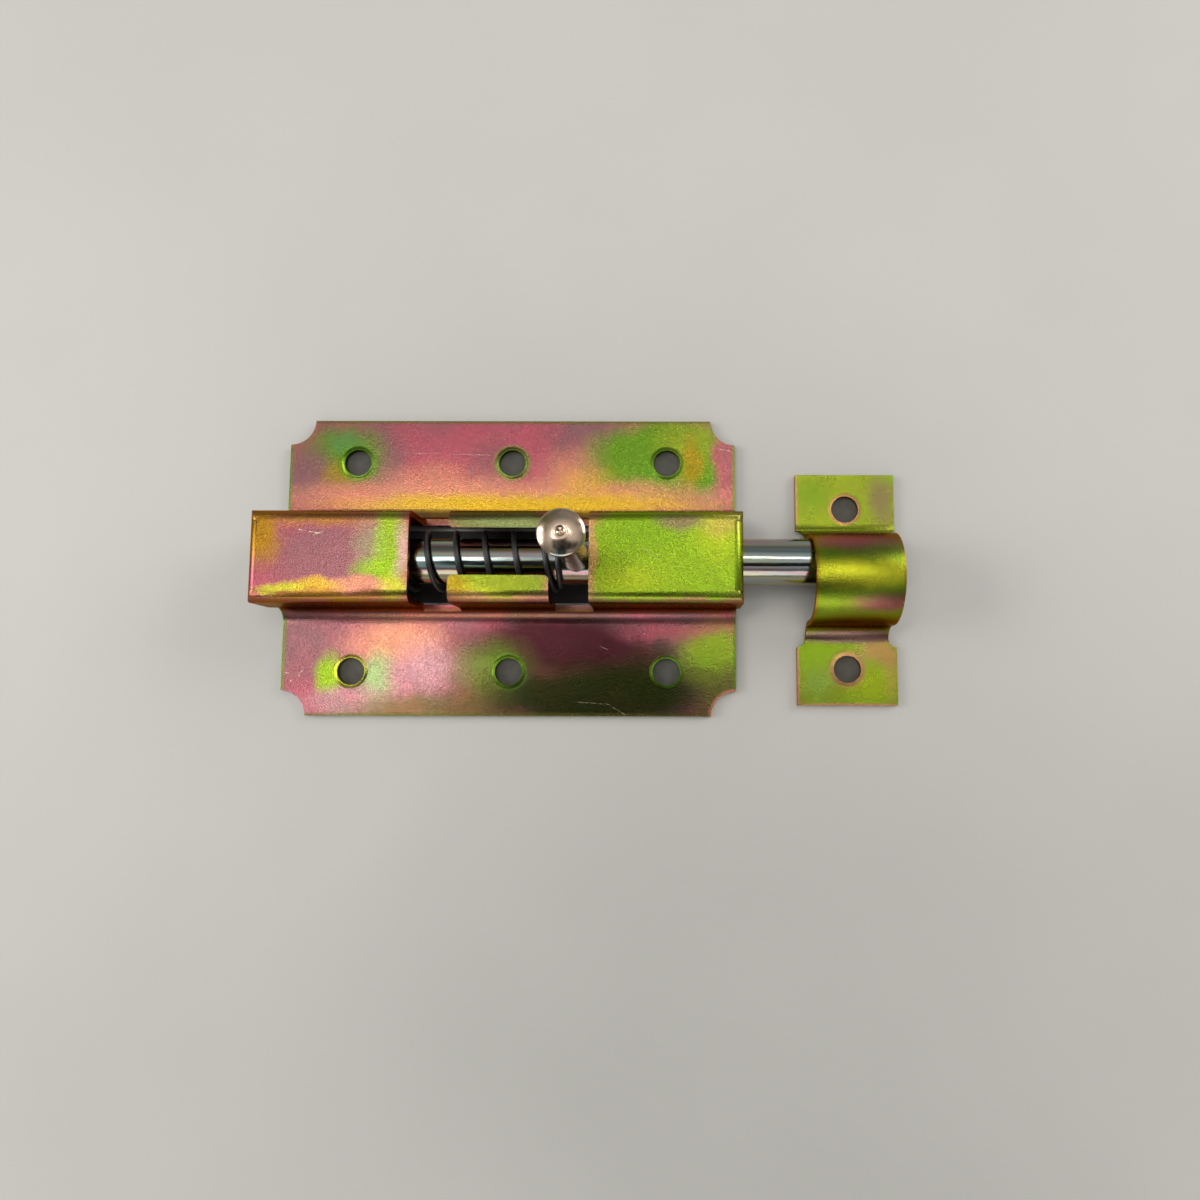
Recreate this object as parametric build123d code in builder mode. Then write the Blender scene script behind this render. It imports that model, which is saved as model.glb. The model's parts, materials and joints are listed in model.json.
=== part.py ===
"""Spring slide bolt: pressed case, sprung round bolt with a side handle, and a loose keeper."""
import os
from math import cos, radians, sin

from build123d import *

# Frame: X along the bolt towards the keeper, Y away from the viewer, Z up from the mounting face.

# Sheet case: base plate and hat channel pressed from one sheet
sheet = 1.0
plate_length = 80.0
plate_width = 53.0
corner_radius = 4.4
hole_dia = 4.8
hole_pitch_x = 27.75
hole_pitch_y = 37.5
channel_width = 15.6
channel_height = 12.3
front_overhang = 0.5
rear_overhang = 1.5
crown_radius = 2.0
base_radius = 2.5
end_radius = 1.6
end_wall_width = 11.5
end_wall_foot = 0.6
corner_relief = 0.05

# Windows that take the handle, and the slot that joins them
window_inner = 8.3
window_outer = 14.9
window_floor = 2.1
slot_width = 7.9
slot_shift = 0.65
flap_corner_radius = 0.8

# Round bolt: the channel's height sets the coil, and the coil sets the bolt that runs in it
bolt_tip_x = 66.0
tail_inset = 0.3
tip_chamfer = 0.8
tail_chamfer = 0.5
guide_clearance = 0.1

# Handle pin, stored upright: the position in which the bolt is free to be drawn
handle_dia = 4.5
handle_reach = 26.0
handle_fit = 0.02
handle_socket = 3.0
handle_play = 0.1
knob_dia = 7.0
knob_rim = 1.1
knob_dome = 0.9
knob_neck = 0.9
dimple_dia = 1.5
dimple_depth = 0.6

# Compression spring on the bolt, between the rear wall and the handle
wire_dia = 0.85
wire_sides = 6
coil_headroom = 0.15
coil_floor_gap = 0.45
coil_bolt_gap = 0.5
coil_turns = 10
coil_end_angle = 161.0
coil_clearance = 0.05

# Keeper: strap bent over a round hoop, with a tab on each side
keeper_sheet = 0.95
keeper_middle_x = 59.6
keeper_middle_y = -3.9
hoop_middle_y = -2.8
hoop_side_room = 4.0
hoop_top_room = 3.4
strap_width = 14.6
tab_width = 17.6
keeper_length = 41.2
keeper_neck_length = 20.8
keeper_base_radius = 2.5
neck_radius = 1.6
keeper_hole_pitch = 28.6
keeper_hole_dia = 4.8

# Derived sizes
half_plate = plate_length / 2
half_channel = channel_width / 2
front_x = half_plate + front_overhang
rear_x = -half_plate - rear_overhang
channel_middle_x = (front_x + rear_x) / 2
half_length = (front_x - rear_x) / 2
wall_foot_z = sheet + base_radius
bend_y = half_channel + base_radius
handle_x = window_outer - handle_dia / 2 - handle_play
coil_outer_dia = channel_height - sheet - coil_headroom - coil_floor_gap
bolt_axis_z = coil_floor_gap + coil_outer_dia / 2
bolt_dia = coil_outer_dia - 2 * (wire_dia + coil_bolt_gap)
guide_dia = bolt_dia + 2 * guide_clearance
coil_radius = (coil_outer_dia - wire_dia) / 2
bolt_tail_x = rear_x + tail_inset
coil_start_x = rear_x + sheet + coil_clearance + wire_dia / 2
coil_end_x = handle_x - handle_dia / 2 - coil_clearance - wire_dia / 2
dome_depth = ((knob_dia**2 - dimple_dia**2) / 4 - knob_dome**2) / (2 * knob_dome)
dome_radius = ((knob_dia / 2) ** 2 + dome_depth**2) ** 0.5
hoop_radius = bolt_dia / 2 + hoop_side_room
hoop_height = bolt_axis_z + bolt_dia / 2 + hoop_top_room
hoop_axis_z = hoop_height - hoop_radius

os.makedirs("parts", exist_ok=True)

# One sheet: flat flanges, base bends, upright walls, crown bends and the top
with BuildPart() as case:
    with BuildSketch(Plane.YZ) as hat_profile:
        with BuildLine() as hat_outline:
            crown = half_channel - crown_radius
            top_side = Line((0, channel_height), (crown, channel_height))
            crown_out = CenterArc((crown, channel_height - crown_radius), crown_radius, 90, -90)
            wall_out = Line(crown_out @ 1, (half_channel, wall_foot_z))
            foot_out = CenterArc((bend_y, wall_foot_z), base_radius, 180, 90)
            flange = Polyline(foot_out @ 1, (plate_width / 2, sheet), (plate_width / 2, 0), (bend_y, 0))
            foot_in = CenterArc((bend_y, wall_foot_z), base_radius + sheet, 270, -90)
            wall_in = Line(foot_in @ 1, (half_channel - sheet, channel_height - crown_radius))
            crown_in = CenterArc((crown, channel_height - crown_radius), crown_radius - sheet, 0, 90)
            top_under = Polyline(crown_in @ 1, (0, channel_height - sheet), (0, channel_height))
        make_face()
        mirror(about=Plane.YZ)
    extrude(amount=half_plate, both=True)

    # Channel ends, a little longer than the flanges
    with BuildSketch(Plane.YZ.offset(channel_middle_x)) as channel_profile:
        with Locations((0, wall_foot_z)):
            Rectangle(channel_width, channel_height - wall_foot_z, align=(Align.CENTER, Align.MIN))
        fillet(channel_profile.vertices().group_by(Axis.Y)[-1], crown_radius)
        with BuildSketch(mode=Mode.PRIVATE) as channel_inside:
            with Locations((0, wall_foot_z)):
                Rectangle(
                    channel_width - 2 * sheet,
                    channel_height - wall_foot_z - sheet,
                    align=(Align.CENTER, Align.MIN),
                )
            fillet(channel_inside.vertices().group_by(Axis.Y)[-1], crown_radius - sheet)
        add(channel_inside.sketch, mode=Mode.SUBTRACT)
    extrude(amount=half_length, both=True)

    # End walls: the top turned down at each end, slit from the crown bends, which are rounded to match
    end_plane = Plane((channel_middle_x, 0, 0), x_dir=(1, 0, 0), z_dir=(0, -1, 0))
    turn_x = half_length - end_radius
    turn_z = channel_height - end_radius
    with BuildSketch(end_plane) as end_rounding:
        with BuildLine():
            rounding = CenterArc((turn_x, turn_z), end_radius, 0, 90)
            Polyline(
                rounding @ 1,
                (turn_x, channel_height + sheet),
                (half_length + sheet, channel_height + sheet),
                (half_length + sheet, turn_z),
                rounding @ 0,
            )
        make_face()
        mirror(about=Plane.YZ)
    extrude(amount=channel_width, both=True, mode=Mode.SUBTRACT)
    for wall_x in (rear_x, front_x):
        with Locations((wall_x, 0, channel_height)):
            Box(2 * end_radius, end_wall_width + 2 * corner_relief, 2 * end_radius, mode=Mode.SUBTRACT)
    with BuildSketch(end_plane) as end_profile:
        with BuildLine():
            bend_out = CenterArc((turn_x, turn_z), end_radius, 90, -90)
            bend_in = CenterArc((turn_x, turn_z), end_radius - sheet, 90, -90)
            Polyline(
                bend_out @ 1,
                (half_length, end_wall_foot),
                (half_length - sheet, end_wall_foot),
                bend_in @ 1,
            )
            Polyline(
                bend_in @ 0,
                (turn_x - sheet, channel_height - sheet),
                (turn_x - sheet, channel_height),
                bend_out @ 0,
            )
        make_face()
        mirror(about=Plane.YZ)
    extrude(amount=end_wall_width / 2, both=True)
    with Locations(Plane.YZ.offset(rear_x)):
        with Locations((0, bolt_axis_z)):
            Cylinder(
                guide_dia / 2,
                2 * half_length,
                align=(Align.CENTER, Align.CENTER, Align.MIN),
                mode=Mode.SUBTRACT,
            )

    # Windows through the top and both walls, and the slot between the two flaps
    window_length = window_outer - window_inner
    for side in (-1, 1):
        with Locations((side * (window_inner + window_outer) / 2, 0, window_floor)):
            Box(
                window_length,
                2 * bend_y,
                channel_height,
                align=(Align.CENTER, Align.CENTER, Align.MIN),
                mode=Mode.SUBTRACT,
            )
    with Locations((0, slot_shift, channel_height)):
        Box(2 * window_inner, slot_width, 4 * sheet, mode=Mode.SUBTRACT)
    flap_corners = (
        case.edges()
        .filter_by(Axis.Z)
        .filter_by_position(Axis.X, -window_outer, window_outer)
        .filter_by_position(Axis.Y, -crown, crown)
    )
    fillet(flap_corners, flap_corner_radius)

    # Scooped corners and screw holes
    with BuildSketch() as plate_cuts:
        with GridLocations(plate_length, plate_width, 2, 2):
            Circle(corner_radius)
        with GridLocations(hole_pitch_x, hole_pitch_y, 3, 2):
            Circle(hole_dia / 2)
    extrude(amount=sheet, mode=Mode.SUBTRACT)

with BuildPart() as bolt_rod:
    with BuildSketch(Plane.YZ.offset(bolt_tail_x)):
        with Locations((0, bolt_axis_z)):
            Circle(bolt_dia / 2)
    extrude(amount=bolt_tip_x - bolt_tail_x)
    chamfer(bolt_rod.edges().group_by(Axis.X)[-1], tip_chamfer)
    chamfer(bolt_rod.edges().group_by(Axis.X)[0], tail_chamfer)
    with BuildSketch(Plane.XY.offset(bolt_axis_z - handle_socket)):
        with Locations((handle_x, 0)):
            Circle(handle_dia / 2 + handle_fit)
    extrude(amount=handle_socket + bolt_dia, mode=Mode.SUBTRACT)

# Turned handle: plain shank, flat domed knob with a centre mark
with BuildPart() as handle_pin:
    with BuildSketch(Plane((handle_x, 0, bolt_axis_z), x_dir=(1, 0, 0), z_dir=(0, -1, 0))):
        with BuildLine():
            rim_top = handle_reach - knob_dome
            rim_foot = rim_top - knob_rim
            shank_end = rim_foot - knob_neck
            shank = Polyline(
                (0, handle_reach - dimple_depth),
                (0, -handle_socket),
                (handle_dia / 2, -handle_socket),
                (handle_dia / 2, shank_end),
            )
            rim = Polyline(shank @ 1, (knob_dia / 2, rim_foot), (knob_dia / 2, rim_top))
            dome = RadiusArc(rim @ 1, (dimple_dia / 2, handle_reach), -dome_radius)
            Line(dome @ 1, shank @ 0)
        make_face()
    revolve(axis=Axis((handle_x, 0, bolt_axis_z), (0, 0, 1)))

# Right-hand coil, its round wire cut as a six-sided section
coil_angle = radians(coil_end_angle)
coil_plane = Plane(
    (coil_start_x, 0, bolt_axis_z), x_dir=(0, cos(coil_angle), sin(coil_angle)), z_dir=(1, 0, 0)
)
coil_length = coil_end_x - coil_start_x
with BuildPart() as spring:
    with BuildLine() as coil_path:
        coil = Helix(coil_length / coil_turns, coil_length, coil_radius, mode=Mode.PRIVATE)
        add(coil_plane.location * coil)
    with BuildSketch(coil_path.line ^ 0):
        RegularPolygon(wire_dia / 2, wire_sides)
    sweep(is_frenet=True)

# Keeper strap, bent up over the bolt and out to its two tabs
with BuildPart() as keeper:
    strap_plane = Plane(
        (keeper_middle_x - tab_width / 2, hoop_middle_y, 0), x_dir=(0, 1, 0), z_dir=(1, 0, 0)
    )
    with BuildSketch(strap_plane) as strap_profile:
        with BuildLine():
            hoop_foot_z = keeper_sheet + keeper_base_radius
            tab_y = hoop_radius + keeper_base_radius
            hoop_out = CenterArc((0, hoop_axis_z), hoop_radius, 90, -90)
            leg_out = Line(hoop_out @ 1, (hoop_radius, hoop_foot_z))
            knee_out = CenterArc((tab_y, hoop_foot_z), keeper_base_radius, 180, 90)
            Line(knee_out @ 1, (tab_y, 0))
            knee_in = CenterArc((tab_y, hoop_foot_z), keeper_base_radius + keeper_sheet, 270, -90)
            leg_in = Line(knee_in @ 1, (hoop_radius - keeper_sheet, hoop_axis_z))
            hoop_in = CenterArc((0, hoop_axis_z), hoop_radius - keeper_sheet, 0, 90)
            Line(hoop_in @ 1, hoop_out @ 0)
        make_face()
        mirror(about=Plane.YZ)
        far_end = keeper_middle_y + keeper_length / 2 - hoop_middle_y
        near_end = keeper_middle_y - keeper_length / 2 - hoop_middle_y
        with Locations((tab_y, 0)):
            Rectangle(far_end - tab_y, keeper_sheet, align=(Align.MIN, Align.MIN))
        with Locations((-tab_y, 0)):
            Rectangle(-near_end - tab_y, keeper_sheet, align=(Align.MAX, Align.MIN))
    extrude(amount=tab_width)

    # Sides drawn in to the strap's width, with a rounded neck at each tab
    with BuildSketch() as neck_cuts:
        for side in (-1, 1):
            with Locations((keeper_middle_x + side * (strap_width / 2 + tab_width / 2), keeper_middle_y)):
                RectangleRounded(tab_width, keeper_neck_length, neck_radius)
    extrude(amount=hoop_height, mode=Mode.SUBTRACT)
    with BuildSketch() as keeper_holes:
        with Locations((keeper_middle_x, keeper_middle_y)):
            with GridLocations(0, keeper_hole_pitch, 1, 2):
                Circle(keeper_hole_dia / 2)
    extrude(amount=keeper_sheet, mode=Mode.SUBTRACT)

case.part.label = "case"
export_step(case.part, "parts/case.step")
bolt_rod.part.label = "bolt_rod"
export_step(bolt_rod.part, "parts/bolt_rod.step")
handle_pin.part.label = "handle_pin"
export_step(handle_pin.part, "parts/handle_pin.step")
spring.part.label = "spring"
export_step(spring.part, "parts/spring.step")
keeper.part.label = "keeper"
export_step(keeper.part, "parts/keeper.step")
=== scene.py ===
"""Finish, spring and stage for a spring slide bolt with its keeper."""

import json
from math import cos, radians, sin, tau

import bmesh
import bpy
from bpy.props import FloatProperty, FloatVectorProperty, IntProperty, PointerProperty
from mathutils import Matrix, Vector


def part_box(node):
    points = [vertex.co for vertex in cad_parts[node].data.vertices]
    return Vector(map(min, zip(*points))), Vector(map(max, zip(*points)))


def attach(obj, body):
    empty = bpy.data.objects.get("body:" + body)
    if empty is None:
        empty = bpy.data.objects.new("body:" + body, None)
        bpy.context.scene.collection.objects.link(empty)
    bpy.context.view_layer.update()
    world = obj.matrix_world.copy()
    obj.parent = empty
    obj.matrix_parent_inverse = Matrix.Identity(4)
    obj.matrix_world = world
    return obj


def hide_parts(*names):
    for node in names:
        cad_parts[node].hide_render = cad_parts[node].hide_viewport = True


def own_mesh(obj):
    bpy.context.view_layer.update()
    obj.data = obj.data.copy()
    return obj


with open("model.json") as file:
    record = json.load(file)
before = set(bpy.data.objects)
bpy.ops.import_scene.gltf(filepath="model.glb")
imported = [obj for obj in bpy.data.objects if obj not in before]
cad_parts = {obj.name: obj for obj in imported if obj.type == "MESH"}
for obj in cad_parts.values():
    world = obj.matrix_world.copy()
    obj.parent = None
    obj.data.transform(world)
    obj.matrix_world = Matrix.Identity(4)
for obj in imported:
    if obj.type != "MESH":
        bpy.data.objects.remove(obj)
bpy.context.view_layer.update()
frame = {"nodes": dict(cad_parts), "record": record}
# The film's fields, rings and scuffs are placed in millimetres
MM_PER_M = 1000.0

bl_info = {
    "name": "Spring Slide Bolt",
    "version": (1, 0, 0),
    "blender": (4, 5, 0),
    "location": "3D View > Sidebar > Slide Bolt",
    "description": "Dresses a pressed spring bolt, its coil and its keeper, and sets the stage",
    "category": "Object",
}


def tint(name, about, rgb):
    """A colour property of a finish, in scene-linear values."""
    return FloatVectorProperty(
        name=name, description=about, subtype="COLOR", size=3, min=0.0, max=1.0, default=rgb
    )


class BoltPassivateSettings(bpy.types.PropertyGroup):
    """Colours and grain of the yellow zinc passivate on the pressed sheets."""

    rose: tint("Rose", "Pink fields of the passivate", (0.47, 0.11, 0.14))
    mauve: tint("Mauve", "Greyed pink between the fields", (0.27, 0.125, 0.13))
    # Plum is film colour and, on the near flange, a painted dark reflection
    plum: tint("Plum", "Darkest purple fields", (0.078, 0.019, 0.025))
    sand: tint("Sand", "Warm orange where the film is thin", (0.68, 0.28, 0.16))
    # This shade is film colour and a painted highlight along the bends
    gold_and_bend_sheen: tint("Gold", "Deep yellow along the bends", (0.68, 0.42, 0.028))
    amber: tint("Amber", "Dark yellow at the ends of the channel", (0.42, 0.21, 0.016))
    lemon: tint("Lemon", "Bright yellow-green", (0.56, 0.56, 0.03))
    lime: tint("Lime", "Green-yellow fields", (0.28, 0.44, 0.022))
    pear: tint("Pear", "Dull yellow-green of the keeper", (0.29, 0.33, 0.028))
    leaf: tint("Leaf", "Green fields and rings round the holes", (0.13, 0.28, 0.017))
    sea: tint("Sea", "Blue-green inside the green fields", (0.12, 0.27, 0.09))
    mint: tint("Mint", "Pale green beside the holes", (0.32, 0.43, 0.17))
    blossom: tint("Blossom", "Palest pink of the near flange", (0.6, 0.31, 0.32))
    olive: tint("Olive", "Cut edges and borders", (0.15, 0.145, 0.03))
    # Moss is film colour and, on the near flange, a painted dark reflection
    moss: tint("Moss", "Dark green fields", (0.022, 0.037, 0.005))
    # This shade is film colour and painted shade: it darkens the channel's walls and the keeper's near leg
    brown_and_wall_shade: tint("Brown", "Dark walls of the channel and keeper", (0.17, 0.075, 0.006))
    scuff: tint("Scuff", "Bare zinc in a scratch", (0.5, 0.4, 0.28))
    grazing: tint("Grazing", "Tint that the film keeps at a grazing angle", (0.75, 0.45, 0.14))
    metallic: FloatProperty(
        name="Metallic", description="How metallic the film looks", default=0.97, min=0.0, max=1.0
    )
    roughness: FloatProperty(
        name="Roughness", description="Mean roughness of the sheet", default=0.26, min=0.0, max=1.0
    )
    grain: FloatProperty(
        name="Grain", description="Height of the sheet's fine grain", default=0.00004, unit="LENGTH"
    )
    case_fleck: FloatProperty(
        name="Case fleck", description="Darkest fleck of the case's grain", default=0.63, min=0.0, max=1.0
    )
    keeper_fleck: FloatProperty(
        name="Keeper fleck",
        description="Darkest fleck of the keeper's grain",
        default=0.69,
        min=0.0,
        max=1.0,
    )
    rim: FloatProperty(
        name="Rim",
        description="Height of the lip that punching leaves round a hole",
        default=0.00016,
        unit="LENGTH",
    )
    rim_width: FloatProperty(
        name="Rim width", description="Width of that lip in millimetres", default=0.7, min=0.0
    )


class BoltPlatingSettings(bpy.types.PropertyGroup):
    """Bright plating of the bolt and handle, and the black wire."""

    bright: tint("Bright", "Plated round bar", (0.27, 0.3, 0.285))
    cool: tint("Cool", "Blue tint in the plating", (0.2, 0.29, 0.28))
    blush: tint("Blush", "Pink tint in the plating", (0.33, 0.21, 0.22))
    straw: tint("Straw", "Yellow tint in the plating", (0.42, 0.36, 0.14))
    champagne: tint("Champagne", "Plated handle", (0.56, 0.42, 0.31))
    wire: tint("Wire", "Black spring wire", (0.022, 0.021, 0.022))
    rod_roughness: FloatProperty(
        name="Rod roughness", description="Polish of the bolt", default=0.13, min=0.0, max=1.0
    )
    handle_roughness: FloatProperty(
        name="Handle roughness", description="Polish of the handle", default=0.2, min=0.0, max=1.0
    )


class BoltSpringSettings(bpy.types.PropertyGroup):
    """The compression coil on the bolt."""

    wire: FloatProperty(
        name="Wire", description="Wire diameter", default=0.00085, unit="LENGTH"
    )
    pitch: FloatProperty(
        name="Pitch", description="Advance of each open turn", default=0.0049, unit="LENGTH"
    )
    closed_turns: FloatProperty(
        name="Closed turns", description="Turns that lie together at each end", default=0.9
    )
    ring: IntProperty(name="Ring", description="Points round the wire", default=12, min=6)
    steps: IntProperty(name="Steps", description="Points along each turn", default=40, min=16)


class BoltStageSettings(bpy.types.PropertyGroup):
    """Floor, lamps and camera."""

    floor: tint("Floor", "Pale tabletop", (0.56, 0.546, 0.505))
    ceiling: FloatProperty(
        name="Ceiling", description="Small soft lamp overhead", default=0.52, unit="POWER"
    )
    skylight: FloatProperty(
        name="Skylight", description="Narrow lamp that lines the bolt", default=0.25, unit="POWER"
    )
    near: FloatProperty(
        name="Near", description="Low window light from the viewer's side", default=2.4, unit="POWER"
    )
    far: FloatProperty(
        name="Far", description="Lamp on the far side", default=0.1, unit="POWER"
    )
    left: FloatProperty(
        name="Left", description="Low light from the left", default=3.0, unit="POWER"
    )
    right: FloatProperty(
        name="Right", description="Low light from the right", default=3.0, unit="POWER"
    )
    lens: FloatProperty(
        name="Lens", description="Focal length on a 36 mm frame", default=25.3, subtype="DISTANCE_CAMERA"
    )


def group_tree(name, takes, gives):
    """A new shader node group with its sockets, ready to be wired."""
    tree = bpy.data.node_groups.new(name, "ShaderNodeTree")
    kinds = {"value": "NodeSocketFloat", "vector": "NodeSocketVector"}
    for label, kind, default in takes:
        socket = tree.interface.new_socket(name=label, in_out="INPUT", socket_type=kinds[kind])
        if default is not None:
            socket.default_value = default
    for label, kind in gives:
        tree.interface.new_socket(name=label, in_out="OUTPUT", socket_type=kinds[kind])
    return tree, tree.nodes.new("NodeGroupInput"), tree.nodes.new("NodeGroupOutput")


def math_node(tree, operation, *values):
    """A Math node whose inputs are numbers or sockets."""
    node = tree.nodes.new("ShaderNodeMath")
    node.operation = operation
    for socket, value in zip(node.inputs, values):
        if isinstance(value, bpy.types.NodeSocket):
            tree.links.new(value, socket)
        else:
            socket.default_value = value
    return node.outputs[0]


def vector_node(tree, operation, *values):
    """A Vector Math node whose inputs are vectors or sockets."""
    node = tree.nodes.new("ShaderNodeVectorMath")
    node.operation = operation
    for socket, value in zip(node.inputs, values):
        if isinstance(value, bpy.types.NodeSocket):
            tree.links.new(value, socket)
        else:
            socket.default_value = value
    return node.outputs["Value" if operation in ("LENGTH", "DOT_PRODUCT") else "Vector"]


def noise_node(tree, vector, scale, detail=2.0, roughness=0.5):
    """A Noise Texture in three dimensions."""
    node = tree.nodes.new("ShaderNodeTexNoise")
    node.inputs["Scale"].default_value = scale
    node.inputs["Detail"].default_value = detail
    node.inputs["Roughness"].default_value = roughness
    tree.links.new(vector, node.inputs["Vector"])
    return node


def range_node(tree, value, low, high, to_low=0.0, to_high=1.0, smooth=True):
    """A Map Range node, smooth by default; the bounds are numbers or sockets."""
    node = tree.nodes.new("ShaderNodeMapRange")
    node.interpolation_type = "SMOOTHSTEP" if smooth else "LINEAR"
    tree.links.new(value, node.inputs["Value"])
    for label, bound in (("From Min", low), ("From Max", high), ("To Min", to_low), ("To Max", to_high)):
        if isinstance(bound, bpy.types.NodeSocket):
            tree.links.new(bound, node.inputs[label])
        else:
            node.inputs[label].default_value = bound
    return node.outputs["Result"]


def mix_node(tree, factor, under, over, blend="MIX"):
    """A colour Mix node; under and over are colours or sockets."""
    node = tree.nodes.new("ShaderNodeMix")
    node.data_type = "RGBA"
    node.blend_type = blend
    for socket, value in ((node.inputs[0], factor), (node.inputs[6], under), (node.inputs[7], over)):
        if isinstance(value, bpy.types.NodeSocket):
            tree.links.new(value, socket)
        elif isinstance(value, (int, float)):
            socket.default_value = value
        else:
            socket.default_value = (*value, 1.0)
    return node.outputs[2]


def drift_group():
    """Place on the piece in millimetres, pushed about by slow noise so that fields have loose edges."""
    name = "Film drift"
    if name in bpy.data.node_groups:
        return bpy.data.node_groups[name]
    tree, takes, gives = group_tree(
        name,
        [("Drift", "value", 3.0), ("Scale", "value", 0.16)],
        [("Place", "vector"), ("True place", "vector")],
    )
    place = tree.nodes.new("ShaderNodeTexCoord").outputs["Object"]
    millimetres = vector_node(tree, "MULTIPLY", place, (MM_PER_M, MM_PER_M, MM_PER_M))
    noise = noise_node(tree, millimetres, 1.0, detail=5.0, roughness=0.62)
    tree.links.new(takes.outputs["Scale"], noise.inputs["Scale"])
    swing = vector_node(tree, "SUBTRACT", noise.outputs["Color"], (0.5, 0.5, 0.5))
    scale = tree.nodes.new("ShaderNodeVectorMath")
    scale.operation = "SCALE"
    tree.links.new(swing, scale.inputs[0])
    tree.links.new(takes.outputs["Drift"], scale.inputs["Scale"])
    moved = vector_node(tree, "ADD", millimetres, scale.outputs["Vector"])
    tree.links.new(moved, gives.inputs["Place"])
    tree.links.new(millimetres, gives.inputs["True place"])
    return tree


def field_group():
    """Mask of one soft oval field of colour; most fields are film colour, some are painted highlights,
    painted shade and painted reflections.
    """
    name = "Film field"
    if name in bpy.data.node_groups:
        return bpy.data.node_groups[name]
    tree, takes, gives = group_tree(
        name,
        [
            ("Place", "vector", None),
            ("Centre", "vector", (0.0, 0.0, 0.0)),
            ("Reach", "vector", (1.0, 1.0, 1.0)),
            ("Softness", "value", 0.5),
            ("Strength", "value", 1.0),
        ],
        [("Mask", "value")],
    )
    offset = vector_node(tree, "SUBTRACT", takes.outputs["Place"], takes.outputs["Centre"])
    share = vector_node(tree, "DIVIDE", offset, takes.outputs["Reach"])
    distance = vector_node(tree, "LENGTH", share)
    outer = math_node(tree, "ADD", 1.0, takes.outputs["Softness"])
    inner = math_node(tree, "SUBTRACT", 1.0, takes.outputs["Softness"])
    mask = range_node(tree, distance, outer, inner)
    strong = math_node(tree, "MULTIPLY", mask, takes.outputs["Strength"])
    tree.links.new(strong, gives.inputs["Mask"])
    return tree


def ring_group():
    """Mask of a soft ring round a hole."""
    name = "Hole ring"
    if name in bpy.data.node_groups:
        return bpy.data.node_groups[name]
    tree, takes, gives = group_tree(
        name,
        [
            ("Place", "vector", None),
            ("Centre", "vector", (0.0, 0.0, 0.0)),
            ("Radius", "value", 2.4),
            ("Width", "value", 0.5),
            ("Strength", "value", 1.0),
        ],
        [("Mask", "value")],
    )
    flat = vector_node(tree, "MULTIPLY", takes.outputs["Place"], (1.0, 1.0, 0.0))
    distance = vector_node(tree, "LENGTH", vector_node(tree, "SUBTRACT", flat, takes.outputs["Centre"]))
    edge = math_node(tree, "ADD", takes.outputs["Radius"], takes.outputs["Width"])
    mask = range_node(tree, distance, edge, takes.outputs["Radius"])
    strong = math_node(tree, "MULTIPLY", mask, takes.outputs["Strength"])
    tree.links.new(strong, gives.inputs["Mask"])
    return tree


# Noise that breaks a scratch into dashes
SCUFF_GAP_SCALE = 1.7
SCUFF_GAP_RANGE = (0.35, 0.55)


def scuff_group():
    """Mask of a short fine scratch between two points of the sheet."""
    name = "Scuff line"
    if name in bpy.data.node_groups:
        return bpy.data.node_groups[name]
    tree, takes, gives = group_tree(
        name,
        [
            ("Place", "vector", None),
            ("Start", "vector", (0.0, 0.0, 0.0)),
            ("End", "vector", (1.0, 0.0, 0.0)),
            ("Width", "value", 0.12),
        ],
        [("Mask", "value")],
    )
    flat = vector_node(tree, "MULTIPLY", takes.outputs["Place"], (1.0, 1.0, 0.0))
    reach = vector_node(tree, "SUBTRACT", flat, takes.outputs["Start"])
    run = vector_node(tree, "SUBTRACT", takes.outputs["End"], takes.outputs["Start"])
    reached = vector_node(tree, "DOT_PRODUCT", reach, run)
    share = math_node(tree, "DIVIDE", reached, vector_node(tree, "DOT_PRODUCT", run, run))
    along = range_node(tree, share, 0.0, 1.0, smooth=False)
    nearest = vector_node(tree, "MULTIPLY", run, along)
    distance = vector_node(tree, "LENGTH", vector_node(tree, "SUBTRACT", reach, nearest))
    gaps = noise_node(tree, takes.outputs["Place"], SCUFF_GAP_SCALE)
    broken = range_node(tree, gaps.outputs["Fac"], *SCUFF_GAP_RANGE)
    line = range_node(tree, distance, takes.outputs["Width"], 0.0)
    tree.links.new(math_node(tree, "MULTIPLY", line, broken), gives.inputs["Mask"])
    return tree


# Scales of the sheet's tooth and of its slow change of polish, and the noise that a fleck spans
TOOTH_SCALE = 4600.0
POLISH_SCALE = 420.0
FLECK_RANGE = (0.3, 0.7)


def grain_group():
    """Fine tooth of rolled and plated sheet: a height, a roughness and a light and dark fleck."""
    name = "Sheet grain"
    if name in bpy.data.node_groups:
        return bpy.data.node_groups[name]
    tree, takes, gives = group_tree(
        name,
        [("Mean roughness", "value", 0.36), ("Swing", "value", 0.12)],
        [("Roughness", "value"), ("Height", "value"), ("Fleck", "value")],
    )
    place = tree.nodes.new("ShaderNodeTexCoord").outputs["Object"]
    tooth = noise_node(tree, place, TOOTH_SCALE, roughness=0.6)
    polish = noise_node(tree, place, POLISH_SCALE, detail=3.0, roughness=0.6)
    centred = math_node(tree, "SUBTRACT", polish.outputs["Fac"], 0.5)
    spread = math_node(tree, "MULTIPLY", centred, takes.outputs["Swing"])
    roughness = math_node(tree, "ADD", takes.outputs["Mean roughness"], spread)
    tree.links.new(roughness, gives.inputs["Roughness"])
    tree.links.new(tooth.outputs["Fac"], gives.inputs["Height"])
    tree.links.new(range_node(tree, tooth.outputs["Fac"], *FLECK_RANGE), gives.inputs["Fleck"])
    return tree


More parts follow.
